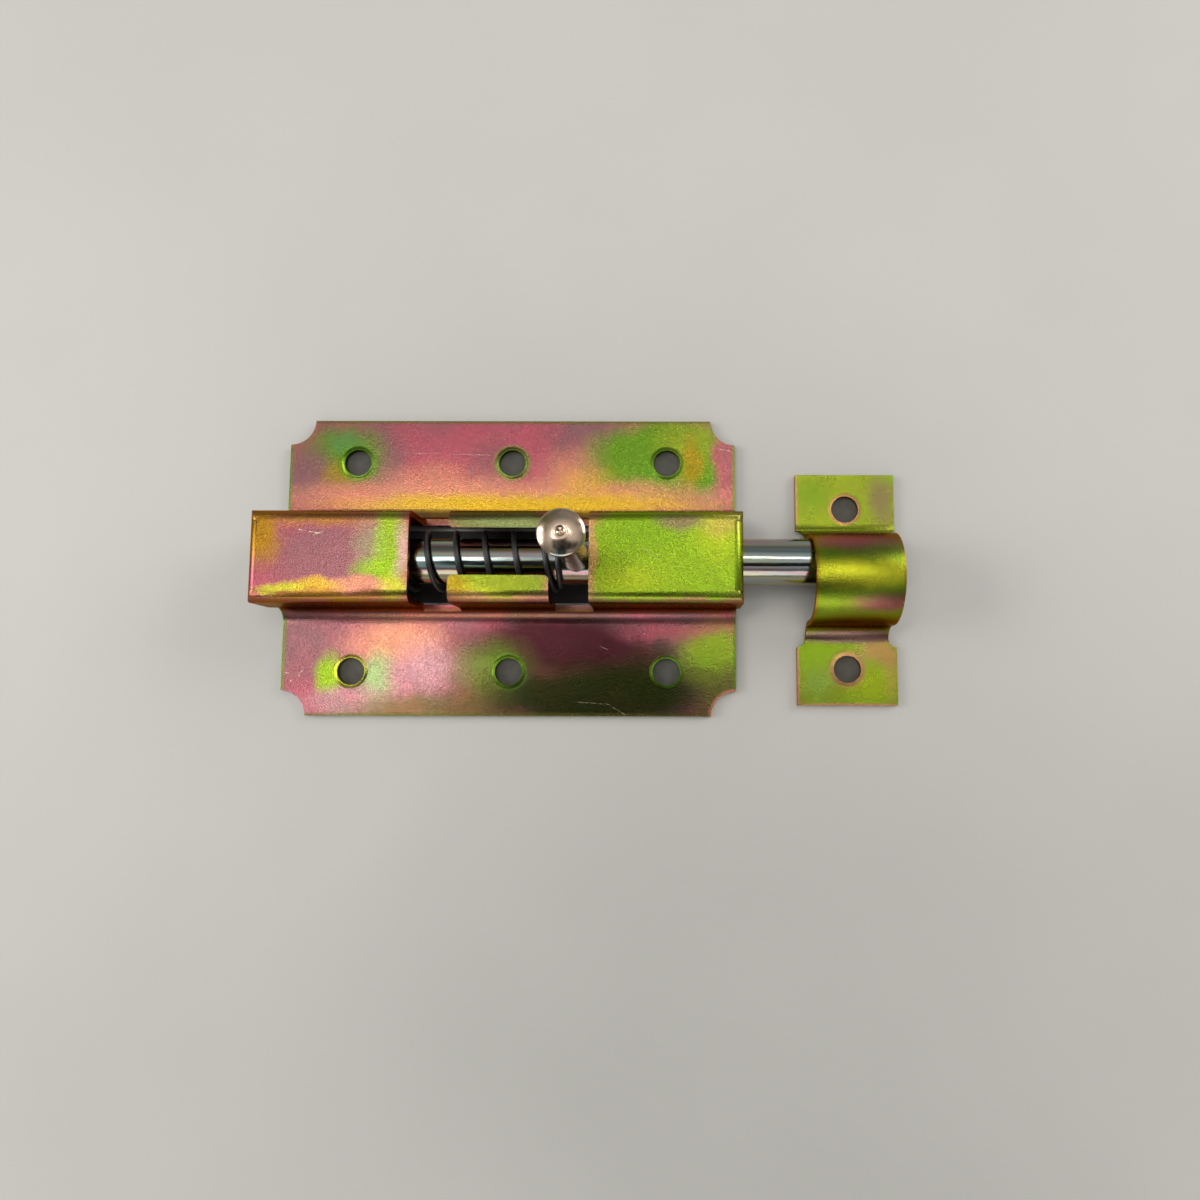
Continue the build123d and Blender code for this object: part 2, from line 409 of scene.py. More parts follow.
def place_group(tree, group, **values):
    """A group node in a material, its inputs set by numbers, vectors or sockets."""
    node = tree.nodes.new("ShaderNodeGroup")
    node.node_tree = group
    for label, value in values.items():
        socket = node.inputs[label.replace("_", " ")]
        if isinstance(value, bpy.types.NodeSocket):
            tree.links.new(value, socket)
        else:
            socket.default_value = value
    return node


def new_material(name):
    """A material with only its Principled shader and output."""
    material = bpy.data.materials.new(name)
    material.use_nodes = True
    tree = material.node_tree
    tree.nodes.clear()
    shader = tree.nodes.new("ShaderNodeBsdfPrincipled")
    output = tree.nodes.new("ShaderNodeOutputMaterial")
    tree.links.new(shader.outputs["BSDF"], output.inputs["Surface"])
    return material, tree, shader


def add_bump(tree, height, distance, target):
    """A Bump node whose normal goes to a shader or to another bump."""
    bump = tree.nodes.new("ShaderNodeBump")
    bump.inputs["Distance"].default_value = distance
    tree.links.new(height, bump.inputs["Height"])
    tree.links.new(bump.outputs["Normal"], target.inputs["Normal"])
    return bump


def screw_holes(mount_name):
    """Centre and radius of a mount's holes in millimetres, the far row first and from left to right."""
    mount = next(mount for mount in frame["record"]["mounts"] if mount["name"] == mount_name)
    middle_x, middle_y = (MM_PER_M * value for value in mount["pos_m"][:2])
    half_x = mount["dims"].get("spacing_x_mm", 0.0) / 2
    half_y = mount["dims"]["spacing_y_mm"] / 2
    radius = mount["dims"]["hole_r_mm"]
    columns = (-half_x, half_x) if half_x else (0.0,)
    return [(middle_x + x, middle_y + y, radius) for y in (half_y, -half_y) for x in columns]


# Darkest and lightest fleck together; under 2, so the grain darkens the mean colour
FLECK_SUM = 1.48
# How far, in millimetres, slow noise pushes a field's edge about, and that noise's scale
FIELD_DRIFT = 5.0
FIELD_DRIFT_SCALE = 0.13
# Slow clouds that mix the two base colours
BASE_CLOUD_SCALE = 0.09
BASE_CLOUD_RANGE = (0.38, 0.62)


def passivate_material(name, settings, base, fields, borders, holes, rings, scuffs, fleck, rim):
    """Iridescent zinc film: slow base colours, placed fields (some of them painted highlights, shade and
    reflections), ringed holes, scuffs and a fine grain.
    """
    material, tree, shader = new_material(name)
    drift = place_group(tree, drift_group(), Drift=FIELD_DRIFT, Scale=FIELD_DRIFT_SCALE)
    place, true_place = drift.outputs["Place"], drift.outputs["True place"]
    cloud = noise_node(tree, place, BASE_CLOUD_SCALE, detail=3.0, roughness=0.55)
    under, over = (getattr(settings, shade) for shade in base)
    colour = mix_node(tree, range_node(tree, cloud.outputs["Fac"], *BASE_CLOUD_RANGE), under, over)
    loose = [(place, field) for field in fields]
    tight = [(true_place, field) for field in borders]
    for spot, (shade, centre, reach, softness, strength) in loose + tight:
        field = place_group(
            tree,
            field_group(),
            Place=spot,
            Centre=centre,
            Reach=reach,
            Softness=softness,
            Strength=strength,
        )
        colour = mix_node(tree, field.outputs["Mask"], colour, getattr(settings, shade))
    lips = []
    for (x, y, radius), (shade, width, strength) in zip(holes, rings):
        hole = {"Place": true_place, "Centre": (x, y, 0.0), "Radius": radius}
        ring = place_group(tree, ring_group(), Width=width, Strength=strength, **hole)
        colour = mix_node(tree, ring.outputs["Mask"], colour, getattr(settings, shade))
        lip = place_group(tree, ring_group(), Width=settings.rim_width, **hole)
        lips.append(lip.outputs["Mask"])
    for start, end, width in scuffs:
        ends = {"Start": (*start, 0.0), "End": (*end, 0.0)}
        scuff = place_group(tree, scuff_group(), Place=true_place, Width=width, **ends)
        colour = mix_node(tree, scuff.outputs["Mask"], colour, settings.scuff)
    grain = place_group(tree, grain_group(), Mean_roughness=settings.roughness)
    dark = mix_node(tree, 1.0, colour, (fleck, fleck, fleck), "MULTIPLY")
    bright = FLECK_SUM - fleck
    light = mix_node(tree, 1.0, colour, (bright, bright, bright), "MULTIPLY")
    colour = mix_node(tree, grain.outputs["Fleck"], dark, light)
    tree.links.new(colour, shader.inputs["Base Color"])
    tree.links.new(grain.outputs["Roughness"], shader.inputs["Roughness"])
    shader.inputs["Metallic"].default_value = settings.metallic
    shader.inputs["Specular Tint"].default_value = (*settings.grazing, 1.0)
    tooth = add_bump(tree, grain.outputs["Height"], settings.grain, shader)
    raised = lips[0]
    for lip in lips[1:]:
        raised = math_node(tree, "MAXIMUM", raised, lip)
    add_bump(tree, raised, rim, tooth)
    return material


# Noise that each tint of the plating spans
COOL_RANGE = (0.45, 0.62)
BLUSH_RANGE = (0.5, 0.66)
STRAW_RANGE = (0.45, 0.62)
# Drawing lines: how much finer than the tints, and the noise that they span
LINE_SCALE = 9.0
LINE_RANGE = (0.3, 0.7)
# Their least and greatest roughness, as shares of the mean, and their height in metres
LINE_POLISH = (0.75, 1.3)
LINE_HEIGHT = 0.000006


def plated_material(name, settings, base, along, roughness, warm):
    """Bright plating with faint tints drawn out along one axis and fine drawing lines."""
    material, tree, shader = new_material(name)
    place = tree.nodes.new("ShaderNodeTexCoord").outputs["Object"]
    stretched = vector_node(tree, "MULTIPLY", place, along)
    tints = noise_node(tree, stretched, 1.0)
    split = tree.nodes.new("ShaderNodeSeparateColor")
    tree.links.new(tints.outputs["Color"], split.inputs["Color"])
    colour = mix_node(tree, range_node(tree, split.outputs[0], *COOL_RANGE), base, settings.cool)
    colour = mix_node(tree, range_node(tree, split.outputs[1], *BLUSH_RANGE), colour, settings.blush)
    warmth = math_node(tree, "MULTIPLY", range_node(tree, split.outputs[2], *STRAW_RANGE), warm)
    colour = mix_node(tree, warmth, colour, settings.straw)
    lines = noise_node(tree, stretched, LINE_SCALE, detail=3.0, roughness=0.6)
    tree.links.new(colour, shader.inputs["Base Color"])
    low, high = (roughness * share for share in LINE_POLISH)
    polish = range_node(tree, lines.outputs["Fac"], *LINE_RANGE, low, high)
    tree.links.new(polish, shader.inputs["Roughness"])
    shader.inputs["Metallic"].default_value = 1.0
    add_bump(tree, lines.outputs["Fac"], LINE_HEIGHT, shader)
    return material


def dress(node, material):
    """Gives a CAD node one material."""
    piece = frame["nodes"][node]
    piece.data.materials.clear()
    piece.data.materials.append(material)
    return piece


# Bevels of the sheets and of the handle, and the weld before them, in metres
SHEET_BEVEL = 0.00018
HANDLE_BEVEL = 0.0002
WELD_REACH = 0.000002
# Edges sharper than this are bevelled
SHARP_ANGLE = radians(50)
BEVEL_SEGMENTS = 2


def soften_edges(piece, width):
    """A narrow bevel on the sharp edges, as pressing and plating leave them."""
    weld = piece.modifiers.new("Joined faces", "WELD")
    weld.merge_threshold = WELD_REACH
    bevel = piece.modifiers.new("Soft edges", "BEVEL")
    bevel.width = width
    bevel.segments = BEVEL_SEGMENTS
    bevel.limit_method = "ANGLE"
    bevel.angle_limit = SHARP_ANGLE


# Fields of film colour on the case, some of them painted highlights, shade and reflections (marked below):
# shade, centre and reach in millimetres, softness, strength
CASE_FIELDS = [
    # Far flange
    ("rose", (-9, 19, 1), (16, 8, 3), 0.5, 0.9),
    ("mauve", (-23, 20, 1), (4, 6, 3), 0.7, 0.8),
    ("sand", (-14, 16, 1), (9, 2.6, 3), 0.8, 0.6),
    ("mauve", (-4, 19, 1), (3.5, 5, 3), 0.7, 0.6),
    ("leaf", (-31, 20, 1), (7, 5, 3), 0.6, 0.9),
    ("sea", (-30, 22.5, 1), (3, 2, 3), 0.6, 0.6),
    ("mauve", (-37, 16, 1), (5, 6, 3), 0.5, 0.9),
    ("amber", (-31.5, 16.6, 1), (2.6, 2.2, 2), 0.7, 0.5),
    ("rose", (-35, 11, 1), (5, 2.4, 3), 0.6, 0.6),
    ("mauve", (12, 22, 1), (6, 4, 3), 0.7, 0.6),
    ("sand", (13, 16, 1), (7, 5, 3), 0.7, 0.75),
    ("leaf", (27, 19.5, 1), (13, 7.5, 3), 0.3, 0.95),
    ("pear", (32, 22.5, 1), (6, 4, 3), 0.6, 0.7),
    ("amber", (31.8, 19, 1), (1.8, 4.2, 3), 0.6, 0.6),
    ("rose", (39.5, 19, 1), (3.2, 9, 3), 0.4, 0.9),
    ("mauve", (40, 19, 1), (2.5, 9, 3), 0.5, 0.4),
    # Far base bend: film colour with a painted highlight along it
    ("sand", (-2, 13, 1.5), (38, 2.4, 4), 0.7, 0.85),
    ("gold_and_bend_sheen", (2, 10.8, 1.8), (30, 2.2, 4), 0.6, 0.95),
    ("gold_and_bend_sheen", (13, 15, 1), (4, 3, 2), 0.8, 0.5),
    # Near flange
    ("mauve", (-34, -14, 1), (10, 8, 3), 0.5, 0.8),
    ("mauve", (-11, -15, 1), (12, 6, 3), 0.5, 0.6),
    # Film colour and a painted highlight on the near flange
    ("sand", (-20, -13.5, 1), (7.5, 3.6, 3), 0.7, 0.9),
    ("lime", (-31.4, -19.2, 1), (2.6, 3.4, 3), 0.6, 0.95),
    ("mint", (-23, -20, 1), (3.2, 4.5, 3), 0.7, 0.95),
    ("blossom", (-15, -19, 1), (5, 4.5, 3), 0.8, 0.75),
    ("blossom", (-27, -24, 1), (9, 2.4, 3), 0.6, 0.5),
    ("olive", (-14, -26, 1), (14, 3, 3), 0.6, 0.7),
    # Near flange right of the middle: the plum and moss fields are film colour and a painted dark
    # reflection
    ("plum", (8, -14, 1), (15, 5, 3), 0.4, 0.95),
    ("leaf", (-3, -19, 1), (6, 5, 3), 0.7, 0.7),
    ("plum", (19, -16.5, 1), (8, 5, 3), 0.6, 0.85),
    ("moss", (15, -23, 1), (20, 5.5, 3), 0.5, 0.95),
    ("moss", (27, -19, 1), (6, 5.5, 3), 0.6, 0.7),
    ("lime", (36, -16, 1), (5.5, 5, 3), 0.6, 0.9),
    ("olive", (38, -23, 1), (4.5, 5, 3), 0.6, 0.8),
    # Painted highlight: a rose line along the near base bend
    ("rose", (30, -11.5, 1.2), (9, 1.4, 2), 0.7, 0.6),
    # Left box
    ("rose", (-27, 0, 13), (14, 12, 5), 0.3, 0.95),
    ("mauve", (-28, 0, 13), (11, 6, 4), 0.5, 0.85),
    ("amber", (-39.2, 3, 13), (2.8, 4.4, 4), 0.5, 0.95),
    ("amber", (-31, 6.8, 13), (11, 1.6, 4), 0.8, 0.75),
    ("lime", (-18, 1, 13), (2.8, 8, 4), 0.5, 0.9),
    ("lime", (-20.5, -2, 13), (3.2, 1.8, 4), 0.6, 0.8),
    ("lemon", (-17.2, -5, 13), (2.4, 1.8, 4), 0.6, 0.7),
    ("blossom", (-16.0, 0.8, 13), (1.3, 3.4, 4), 0.6, 0.7),
    ("mint", (-22, 2.5, 13), (2.4, 3, 4), 0.8, 0.35),
    # Near crown of the left box: film colour with a painted highlight along it
    ("sand", (-24, -4.8, 12.8), (5.5, 1.3, 3), 0.6, 0.85),
    ("gold_and_bend_sheen", (-30.5, -5.3, 12.7), (4.5, 1.1, 3), 0.6, 0.8),
    ("lemon", (-36, -5.4, 12.6), (4, 0.8, 3), 0.6, 0.8),
    ("amber", (-29, -7, 12.3), (13, 0.9, 3), 0.7, 0.85),
    # Flaps
    ("olive", (0, 6.4, 12.8), (9.5, 3, 3), 0.3, 0.9),
    ("mint", (2, 5.4, 12.8), (8, 1.4, 3), 0.7, 0.45),
    ("lime", (-1, -5, 12.8), (9.5, 3, 3), 0.3, 0.9),
    ("pear", (0.5, -4.6, 12.8), (7, 2.2, 3), 0.6, 0.8),
    ("lemon", (-3.5, -6, 12.6), (4, 1.0, 3), 0.7, 0.5),
    ("amber", (-7.4, -5.5, 12.8), (2.4, 2.4, 3), 0.6, 0.7),
    ("sand", (8.4, -5.5, 12.8), (1.0, 2.4, 3), 0.6, 0.7),
    ("sand", (-2, -7.3, 12.0), (9.5, 1.0, 2.2), 0.6, 0.75),
    # Right box
    ("lime", (28, 0, 13), (15.5, 13, 5), 0.25, 0.97),
    ("leaf", (24, 4, 13), (7, 3, 4), 0.7, 0.3),
    ("lemon", (22, -4, 13), (5, 2.2, 3), 0.8, 0.35),
    ("mauve", (30.5, 6, 13), (4, 1.6, 3), 0.7, 0.7),
    ("lemon", (37, 4, 13), (4, 4, 4), 0.7, 0.4),
    ("sand", (37.5, 5, 13), (2.6, 2, 4), 0.8, 0.35),
    ("sand", (15.2, 0, 13), (0.7, 8, 3), 0.5, 0.6),
    ("rose", (28, -7.8, 11.6), (14, 0.8, 2.0), 0.6, 0.6),
]
# Walls darkened by painted shade, bends and a corner's cut edge with painted highlights, other cut edges
# and a smudge, which the slow noise leaves in place
CASE_BORDERS = [
    # Painted shade over the channel's near and far walls
    ("brown_and_wall_shade", (0, -8, 6), (60, 1.0, 4.6), 0.35, 0.92),
    ("brown_and_wall_shade", (0, 8, 6), (60, 1.0, 4.6), 0.35, 0.85),
    # Painted highlight: a yellow line along the near base bend
    ("gold_and_bend_sheen", (-8, -9.3, 2.2), (34, 0.6, 0.8), 0.6, 0.6),
    ("olive", (33.4, -19.3, 1), (2.9, 1.5, 2), 0.15, 0.45),
    ("olive", (0, 26.5, 0.5), (60, 0.5, 3), 0.5, 0.8),
    ("olive", (0, -26.5, 0.5), (60, 0.5, 3), 0.5, 0.8),
    ("leaf", (-40, 0, 0.2), (0.5, 60, 2.5), 0.5, 0.7),
    ("leaf", (40, 0, 0.2), (0.5, 60, 2.5), 0.5, 0.7),
    # Painted highlight on the lit cut edge of the near right corner's scoop
    ("sand", (40, -26.5, 0.5), (4.9, 4.9, 3), 0.06, 0.85),
]
# Ring round each hole: shade, width in millimetres, strength
CASE_RINGS = [
    ("leaf", 1.8, 0.8),
    ("leaf", 0.9, 0.7),
    ("lemon", 0.9, 0.75),
    ("leaf", 0.8, 0.8),
    ("leaf", 1.5, 0.8),
    ("leaf", 1.3, 0.7),
]
# Scratches: start, end and width in millimetres
CASE_SCUFFS = [
    ((-33.0, 4.2), (-29.6, 3.6), 0.14),
    ((-30.6, 3.3), (-29.0, 3.9), 0.12),
    ((-39.2, -19.0), (-36.8, -19.6), 0.14),
    ((-38.4, -20.6), (-36.0, -18.4), 0.1),
    ((11.5, -24.0), (17.5, -24.4), 0.07),
    ((17.5, -24.4), (20.5, -26.2), 0.09),
    ((16.0, -14.2), (17.4, -14.8), 0.06),
    ((-19.5, 20.6), (-4.0, 20.2), 0.06),
    ((24.0, 1.2), (26.4, -0.6), 0.08),
    ((37.2, 21.4), (39.4, 21.0), 0.16),
]
# The keeper's fields, borders and rings, in the same form, with a painted highlight on the hoop's top and
# painted shade on its near leg
KEEPER_FIELDS = [
    ("pear", (60, 10, 1), (9, 7, 2), 0.5, 0.8),
    ("mauve", (66.5, 12.5, 1), (2.2, 4, 2), 0.7, 0.55),
    ("leaf", (53, 13, 1), (3, 3, 2), 0.7, 0.5),
    ("rose", (58, 3.4, 11), (6, 2.4, 4), 0.6, 0.75),
    ("mauve", (63, 3.4, 11), (6, 2.6, 4), 0.6, 0.9),
    ("leaf", (60, 0.4, 12.8), (12, 1.2, 3), 0.6, 0.55),
    # Painted highlight along the top of the hoop
    ("lemon", (60, -2.6, 13.2), (12, 2.2, 3), 0.6, 0.95),
    ("rose", (64.5, -7.6, 10.8), (5, 1.5, 3), 0.6, 0.8),
    ("leaf", (60, -6.2, 12), (12, 1.2, 3), 0.6, 0.5),
    ("lime", (54, -18, 1), (4, 5, 2), 0.7, 0.7),
    ("mint", (54.5, -21, 1), (2.6, 2.6, 2), 0.8, 0.25),
    ("sand", (64.5, -15, 1), (3, 2.6, 2), 0.8, 0.55),
    ("sand", (67, -19, 1), (1.4, 4, 2), 0.8, 0.35),
    ("lemon", (64, -21.5, 1), (4, 3, 2), 0.7, 0.35),
]
KEEPER_BORDERS = [
    ("rose", (57.5, 3.4, 10.6), (5, 1.8, 3), 0.6, 0.5),
    ("rose", (64, -6.9, 10.2), (6, 1.2, 2.4), 0.5, 0.6),
    # Painted shade over the keeper's near leg
    ("brown_and_wall_shade", (60, -10.6, 5.6), (12, 2.0, 4.2), 0.4, 0.95),
    ("mauve", (60, -12.5, 1.6), (10, 1.2, 1.5), 0.4, 0.9),
    ("sand", (50.8, -20, 0.3), (0.4, 8, 2), 0.6, 0.8),
    ("sand", (60, -24.5, 0.3), (12, 0.4, 2), 0.6, 0.85),
    ("sand", (50.8, 12, 0.3), (0.35, 6, 2), 0.6, 0.7),
    ("amber", (52.3, -3, 9), (0.5, 12, 8), 0.5, 0.75),
    ("amber", (66.9, -3, 9), (0.4, 12, 8), 0.5, 0.6),
]
KEEPER_RINGS = [("sand", 0.8, 0.75), ("sand", 1.4, 0.75)]
# The lips of the keeper's holes, as a share of those of the case
KEEPER_RIM = 0.3
# Scale of the plating's tints along each axis, and how much straw tint they hold
ROD_TINTS = (35.0, 520.0, 520.0)
ROD_WARMTH = 0.5
HANDLE_TINTS = (150.0, 150.0, 50.0)
HANDLE_WARMTH = 0.9


class BOLT_OT_dress_case(bpy.types.Operator):
    """Gives the pressed case its yellow zinc film, with painted highlights, shade and reflections on it"""

    bl_idname = "bolt.dress_case"
    bl_label = "Dress case"

    def execute(self, context):
        settings = context.scene.bolt_passivate
        material = passivate_material(
            "Yellow zinc case",
            settings,
            ("rose", "mauve"),
            CASE_FIELDS,
            CASE_BORDERS,
            screw_holes("plate_corners") + screw_holes("plate_middle"),
            CASE_RINGS,
            CASE_SCUFFS,
            settings.case_fleck,
            settings.rim,
        )
        soften_edges(dress("case", material), SHEET_BEVEL)
        return {"FINISHED"}


class BOLT_OT_dress_keeper(bpy.types.Operator):
    """Gives the keeper its greener zinc film, with a painted highlight and painted shade on it"""

    bl_idname = "bolt.dress_keeper"
    bl_label = "Dress keeper"

    def execute(self, context):
        settings = context.scene.bolt_passivate
        material = passivate_material(
            "Yellow zinc keeper",
            settings,
            ("pear", "lime"),
            KEEPER_FIELDS,
            KEEPER_BORDERS,
            screw_holes("keeper_holes"),
            KEEPER_RINGS,
            [],
            settings.keeper_fleck,
            settings.rim * KEEPER_RIM,
        )
        soften_edges(dress("keeper", material), SHEET_BEVEL)
        return {"FINISHED"}


class BOLT_OT_dress_bolt(bpy.types.Operator):
    """Gives the round bolt and its handle their bright plating"""

    bl_idname = "bolt.dress_bolt"
    bl_label = "Dress bolt and handle"

    def execute(self, context):
        settings = context.scene.bolt_plating
        rod = plated_material(
            "Bright plated bolt",
            settings,
            settings.bright,
            ROD_TINTS,
            settings.rod_roughness,
            ROD_WARMTH,
        )
        handle = plated_material(
            "Bright plated handle",
            settings,
            settings.champagne,
            HANDLE_TINTS,
            settings.handle_roughness,
            HANDLE_WARMTH,
        )
        dress("bolt_rod", rod)
        soften_edges(dress("handle_pin", handle), HANDLE_BEVEL)
        return {"FINISHED"}


# Closed turns lie this many wire diameters apart
CLOSED_SPACING = 1.08
# Angle about the bolt at which the wire ends, from the far side upwards
WIRE_END_ANGLE = radians(161)
# Points on each side over which the change of pitch is smoothed
SMOOTH_REACH = 5
# Finish of the black wire
WIRE_ROUGHNESS = 0.34
WIRE_METALLIC = 0.35
WIRE_WEAR = 2.2
WIRE_GRAIN = 0.000008


def coil_path(size, low, high, axis_y, axis_z):
    """The wire's centre line inside a box: open turns between closed ends."""
    radius = (high.z - low.z - size.wire) / 2
    start, end = low.x + size.wire / 2, high.x - size.wire / 2
    closed = size.closed_turns * size.wire * CLOSED_SPACING
    open_turns = (end - start - 2 * closed) / size.pitch
    turns = open_turns + 2 * size.closed_turns
    count = int(turns * size.steps)
    centres = []
    for index in range(count + 1):
        turn = turns * index / count
        if turn < size.closed_turns:
            x = start + closed * turn / size.closed_turns
        elif turn > turns - size.closed_turns:
            x = end - closed * (turns - turn) / size.closed_turns
        else:
            x = start + closed + (turn - size.closed_turns) * size.pitch
        angle = WIRE_END_ANGLE + (turn - turns) * tau
        centres.append(Vector((x, axis_y + radius * cos(angle), axis_z + radius * sin(angle))))
    smooth = [centres[0]]
    for index in range(1, count):
        reach = min(SMOOTH_REACH, index, count - index)
        xs = [centres[index + step].x for step in range(-reach, reach + 1)]
        smooth.append(Vector((sum(xs) / len(xs), centres[index].y, centres[index].z)))
    smooth.append(centres[-1])
    return smooth


def wire_mesh(name, path, size, axis_y, axis_z):
    """Round wire along a path that winds about an axis, with flat ends."""
    mesh = bpy.data.meshes.new(name)
    build = bmesh.new()
    rings = []
    last = len(path) - 1
    for index, centre in enumerate(path):
        along = (path[min(index + 1, last)] - path[max(index - 1, 0)]).normalized()
        out = Vector((0.0, centre.y - axis_y, centre.z - axis_z)).normalized()
        side = along.cross(out).normalized()
        ring = []
        for spoke in range(size.ring):
            angle = tau * spoke / size.ring
            offset = out * cos(angle) + side * sin(angle)
            ring.append(build.verts.new(centre + offset * size.wire / 2))
        rings.append(ring)
    for first, second in zip(rings, rings[1:]):
        for spoke in range(size.ring):
            after = (spoke + 1) % size.ring
            build.faces.new((first[spoke], second[spoke], second[after], first[after]))
    build.faces.new(rings[0])
    build.faces.new(list(reversed(rings[-1])))
    bmesh.ops.recalc_face_normals(build, faces=build.faces)
    for face in build.faces:
        face.smooth = len(face.verts) == 4
    build.to_mesh(mesh)
    build.free()
    return mesh


def wire_material(colour):
    """Black wire, paler where its grain is worn."""
    material, tree, shader = new_material("Black spring wire")
    grain = place_group(tree, grain_group(), Mean_roughness=WIRE_ROUGHNESS)
    worn = mix_node(tree, grain.outputs["Fleck"], colour, [channel * WIRE_WEAR for channel in colour])
    tree.links.new(worn, shader.inputs["Base Color"])
    tree.links.new(grain.outputs["Roughness"], shader.inputs["Roughness"])
    shader.inputs["Metallic"].default_value = WIRE_METALLIC
    add_bump(tree, grain.outputs["Height"], WIRE_GRAIN, shader)
    return material


class BOLT_OT_make_spring(bpy.types.Operator):
    """Winds the coil in round wire with closed ends, in place of the plain coil"""

    bl_idname = "bolt.make_spring"
    bl_label = "Wind spring"

    def execute(self, context):
        size = context.scene.bolt_spring
        low, high = (Vector(corner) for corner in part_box("spring"))
        axis_y, axis_z = (low.y + high.y) / 2, (low.z + high.z) / 2
        path = coil_path(size, low, high, axis_y, axis_z)
        mesh = wire_mesh("coil_spring", path, size, axis_y, axis_z)
        coil = bpy.data.objects.new("coil_spring", mesh)
        context.scene.collection.objects.link(coil)
        mesh.materials.append(wire_material(context.scene.bolt_plating.wire))
        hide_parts("spring")
        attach(coil, "spring")
        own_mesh(coil)
        return {"FINISHED"}


# Tabletop: half its width, its drop below the part and the height of its dust, in metres
TABLE_HALF = 1.5
TABLE_DROP = 0.00005
TABLE_DUST_HEIGHT = 0.00002
TABLE_ROUGHNESS = 0.6
# Scales of its dust and clouds, and the noise that a cloud spans
TABLE_DUST_SCALE = 900.0
TABLE_CLOUD_SCALE = 14.0
TABLE_CLOUD_RANGE = (0.35, 0.65)
# Its darkest and lightest cloud, as shares of its colour
TABLE_SHADES = (0.985, 1.015)
# Felt of the cards: its scale, and its darkest and lightest fibre as shares of the card's colour
FELT_SCALE = 700.0
FELT_SHADES = (0.75, 1.25)
FELT_ROUGHNESS = 0.9
# Black cards over the near side, each by its left, right, near and far edge in metres
BLACK_CARDS = [
    (-0.033, 0.037, -0.155, -0.01),
    (-0.052, -0.033, -0.08, -0.012),
    (0.037, 0.11, -0.085, -0.03),
]
BLACK_CARD_HEIGHT = 0.152
BLACK_CARD_SHADE = (0.014, 0.014, 0.014)
# Painted shadow: dark cards on the tabletop, under the screw holes and under the open channel, which stand
# in for the shade seen through them
LOW_CARD_HEIGHT = -0.00002
HOLE_CARD_MARGIN = 0.001
HOLE_PAINTED_SHADOW = (0.1, 0.095, 0.08)
CHANNEL_CARD = (-0.038, 0.038, -0.0065, 0.0065)
CHANNEL_PAINTED_SHADOW = (0.05, 0.047, 0.045)
# Each lamp: name, place, width, depth, and the setting that holds its power
LAMPS = [
    ("ceiling", (-0.2, 0.02, 0.62), 0.22, 0.14, "ceiling"),
    ("skylight", (0.12, 0.15, 0.62), 0.2, 0.05, "skylight"),
    ("near_window", (-0.05, -0.85, 0.4), 1.0, 0.4, "near"),
    ("far_window", (0.25, 0.7, 0.45), 0.8, 0.3, "far"),
    ("left_window", (-0.72, 0.05, 0.4), 0.5, 0.3, "left"),
    ("right_window", (0.75, 0.42, 0.4), 0.5, 0.3, "right"),
]
LAMP_AIM = (0.02, 0.0, 0.0)
# Brightness of the room by height: the ramp's position, then the level
SKY_STOPS = [(0.0, 0.5), (0.14, 0.38), (0.4, 0.16), (0.66, 0.24), (0.88, 0.8), (1.0, 0.9)]
# Share of blue in that light
SKY_BLUE = 0.98
# The photo's camera, as solved from points in the photo
CAMERA_PLACE = (0.02727, -0.02448, 0.14934)
CAMERA_TURN = (0.092309, 0.001639, 0.002667)
CAMERA_SHIFT = (-0.0517, 0.0223)
CAMERA_NEAR = 0.002
SENSOR_WIDTH_MM = 36.0


def stage_cards(name, cards, height, shade):
    """Flat cards at one height, each given by its left, right, near and far edge."""
    mesh = bpy.data.meshes.new(name)
    corners = []
    for left, right, near, far in cards:
        corners += [(left, near, height), (right, near, height), (right, far, height), (left, far, height)]
    mesh.from_pydata(corners, [], [range(first, first + 4) for first in range(0, len(corners), 4)])
    card = bpy.data.objects.new(name, mesh)
    bpy.context.scene.collection.objects.link(card)
    material, tree, shader = new_material(name)
    place = tree.nodes.new("ShaderNodeTexCoord").outputs["Object"]
    felt = noise_node(tree, place, FELT_SCALE)
    dark, light = ([channel * share for channel in shade] for share in FELT_SHADES)
    tree.links.new(mix_node(tree, felt.outputs["Fac"], dark, light), shader.inputs["Base Color"])
    shader.inputs["Roughness"].default_value = FELT_ROUGHNESS
    mesh.materials.append(material)
    return card


